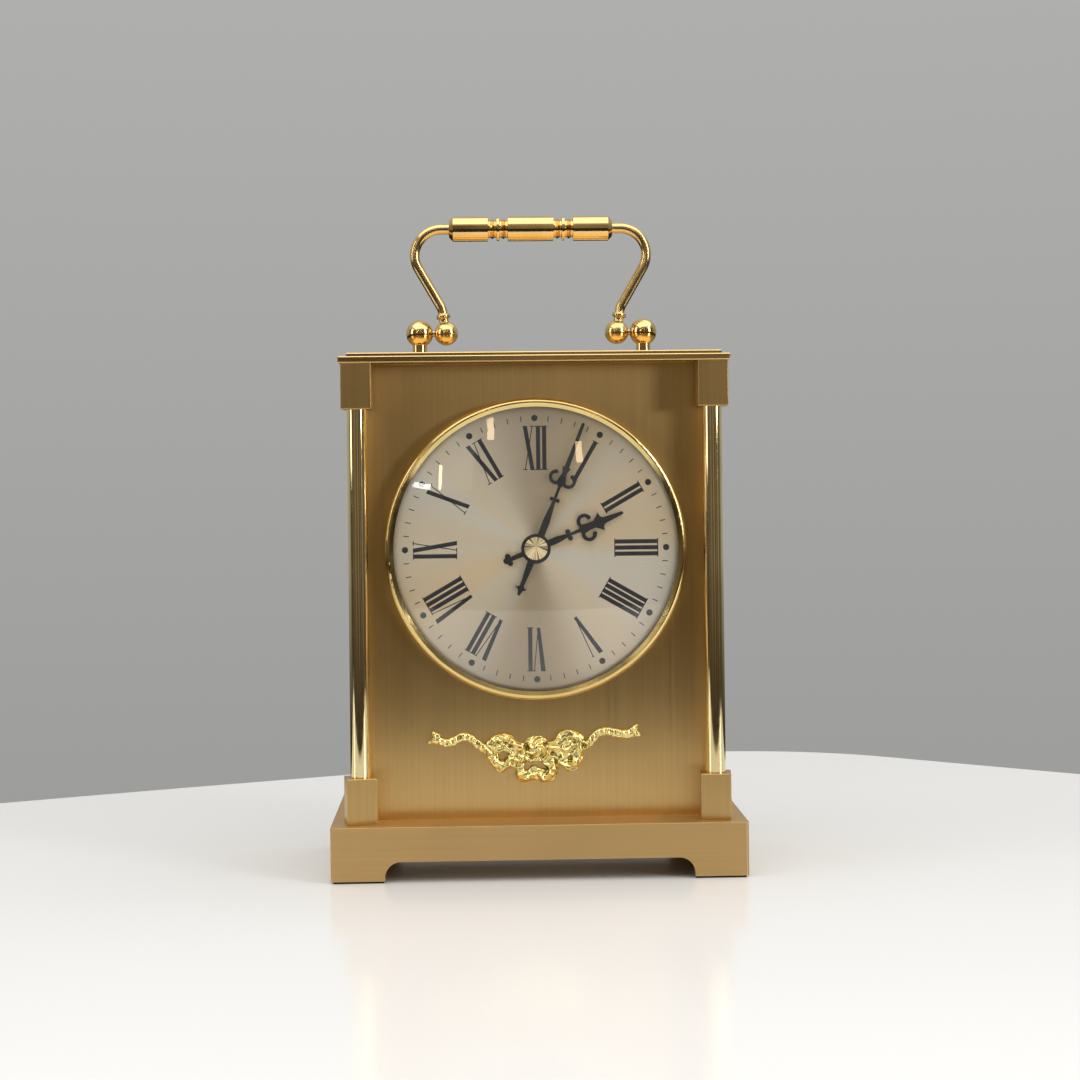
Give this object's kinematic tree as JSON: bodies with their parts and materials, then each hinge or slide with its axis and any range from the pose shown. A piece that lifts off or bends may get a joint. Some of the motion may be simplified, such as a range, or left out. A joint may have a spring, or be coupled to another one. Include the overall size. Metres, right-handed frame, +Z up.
{
  "type": "table clock",
  "caption": "Brass carriage-style quartz table clock with corner columns, domed round glass, ribbon-bow ornament, hinged rear door and swinging handle.",
  "frame": {"origin": "on the table, under the middle of the base", "axes": "+X to the right of the dial, -Y out of the dial towards the viewer, +Z up"},
  "size_m": [0.12, 0.065, 0.1944],
  "materials": {
    "satin_brass": "brushed satin, lacquered",
    "polished_brass": "polished, lacquered",
    "gilt_metal": "bright gilt",
    "dial_print": "champagne sunburst with printed black figures",
    "black_hands": "semi-gloss black",
    "clear_glass": "clear, domed",
    "steel": "bright turned steel",
    "felt": "dark felt",
    "gasket_plastic": "matt black",
    "movement_plastic": "matt black moulding",
    "wheel_plastic": "natural moulding",
    "copper_wire": "enamelled copper winding",
    "board_green": "circuit board lacquer",
    "battery_sleeve": "plain dark sleeve"
  },
  "bodies": {
    "case": {"base_plinth": "satin_brass", "felt_feet": "felt", "pillar_tie_rods": "steel", "frame_nuts": "steel", "top_plate_lower": "polished_brass", "top_plate_upper": "satin_brass", "top_plate_screws": "steel", "front_panel": "satin_brass", "side_panel_left": "satin_brass", "side_panel_right": "satin_brass", "rear_frame": "satin_brass", "door_hinge_frame_leaves": "polished_brass", "door_hinge_pins": "steel", "bezel_ring": "polished_brass", "glass_crystal": "clear_glass", "glass_gasket": "gasket_plastic", "dial_plate": "dial_print", "ribbon_ornament": "gilt_metal", "handle_posts": "polished_brass", "handle_pivot_pins": "steel", "movement_front_shell": "movement_plastic", "movement_rear_shell": "movement_plastic", "train_plate": "wheel_plastic", "mounting_nut": "polished_brass", "stator_core": "steel", "coil_winding": "copper_wire", "circuit_board": "board_green", "quartz_crystal": "steel", "battery_contacts": "steel", "pedestal_front_left": "satin_brass", "column_tube_front_left": "polished_brass", "capital_front_left": "satin_brass", "pedestal_front_right": "satin_brass", "column_tube_front_right": "polished_brass", "capital_front_right": "satin_brass", "pedestal_rear_left": "satin_brass", "column_tube_rear_left": "polished_brass", "capital_rear_left": "satin_brass", "pedestal_rear_right": "satin_brass", "column_tube_rear_right": "polished_brass", "capital_rear_right": "satin_brass"},
    "door": {"rear_door": "satin_brass", "door_knob": "polished_brass", "door_hinge_door_leaves": "polished_brass"},
    "handle": {"handle_arm_left": "polished_brass", "handle_arm_right": "polished_brass", "handle_grip": "polished_brass"},
    "minute_hand_and_arbor": {"minute_arbor": "polished_brass", "minute_hand": "black_hands", "centre_cap": "gilt_metal"},
    "hour_hand_and_wheel": {"hour_wheel": "wheel_plastic", "hour_hand": "black_hands"},
    "minute_wheel": {"minute_wheel": "wheel_plastic"},
    "setting_knob": {"setting_knob": "movement_plastic"},
    "drive_wheel": {"drive_wheel": "wheel_plastic"},
    "third_wheel": {"third_wheel": "wheel_plastic"},
    "seconds_wheel": {"seconds_wheel": "wheel_plastic"},
    "intermediate_wheel": {"intermediate_wheel": "wheel_plastic"},
    "stepper_rotor": {"stepper_rotor": "steel"},
    "battery": {"battery": "battery_sleeve"}
  },
  "joints": [
    {"name": "handle_swing", "type": "hinge", "parent": "case", "child": "handle", "pos_m": [0, 0, 0.1592], "axis": [1, 0, 0], "range_deg": [-90, 90]},
    {"name": "door_swing", "type": "hinge", "parent": "case", "child": "door", "pos_m": [-0.0436, 0.02, 0.08255], "axis": [0, 0, 1], "range_deg": [0, 100]},
    {"name": "minute_hand_turn", "type": "hinge", "parent": "case", "child": "minute_hand_and_arbor", "pos_m": [0, -0.0184, 0.09475], "axis": [0, 1, 0], "continuous": true},
    {"name": "hour_hand_turn", "type": "hinge", "parent": "case", "child": "hour_hand_and_wheel", "pos_m": [0, -0.0184, 0.09475], "axis": [0, 1, 0], "continuous": true},
    {"name": "minute_wheel_turn", "type": "hinge", "parent": "case", "child": "minute_wheel", "pos_m": [-0.01039, -0.0184, 0.10075], "axis": [0, 1, 0], "continuous": true},
    {"name": "setting_knob_turn", "type": "hinge", "parent": "case", "child": "setting_knob", "pos_m": [-0.01888, -0.0184, 0.09226], "axis": [0, 1, 0], "continuous": true},
    {"name": "drive_wheel_turn", "type": "hinge", "parent": "case", "child": "drive_wheel", "pos_m": [0, -0.0184, 0.09475], "axis": [0, 1, 0], "continuous": true},
    {"name": "third_wheel_turn", "type": "hinge", "parent": "case", "child": "third_wheel", "pos_m": [0.01086, -0.0184, 0.0987], "axis": [0, 1, 0], "continuous": true},
    {"name": "seconds_wheel_turn", "type": "hinge", "parent": "case", "child": "seconds_wheel", "pos_m": [0.00891, -0.0184, 0.10978], "axis": [0, 1, 0], "continuous": true},
    {"name": "intermediate_wheel_turn", "type": "hinge", "parent": "case", "child": "intermediate_wheel", "pos_m": [0.00005, -0.0184, 0.11135], "axis": [0, 1, 0], "continuous": true},
    {"name": "stepper_rotor_turn", "type": "hinge", "parent": "case", "child": "stepper_rotor", "pos_m": [-0.00712, -0.0184, 0.10633], "axis": [0, 1, 0], "continuous": true},
    {"name": "battery_slide", "type": "slide", "parent": "case", "child": "battery", "axis": [0, 1, 0], "range_m": [0, 0.015]}
  ],
  "couplings": [
    {"joint": "hour_hand_turn", "follows": "minute_hand_turn", "ratio": 0.083333},
    {"joint": "minute_wheel_turn", "follows": "minute_hand_turn", "ratio": -0.33333},
    {"joint": "setting_knob_turn", "follows": "minute_hand_turn", "ratio": 1},
    {"joint": "third_wheel_turn", "follows": "seconds_wheel_turn", "ratio": -0.125},
    {"joint": "drive_wheel_turn", "follows": "seconds_wheel_turn", "ratio": 0.016667},
    {"joint": "intermediate_wheel_turn", "follows": "seconds_wheel_turn", "ratio": -5},
    {"joint": "stepper_rotor_turn", "follows": "seconds_wheel_turn", "ratio": 30}
  ]
}
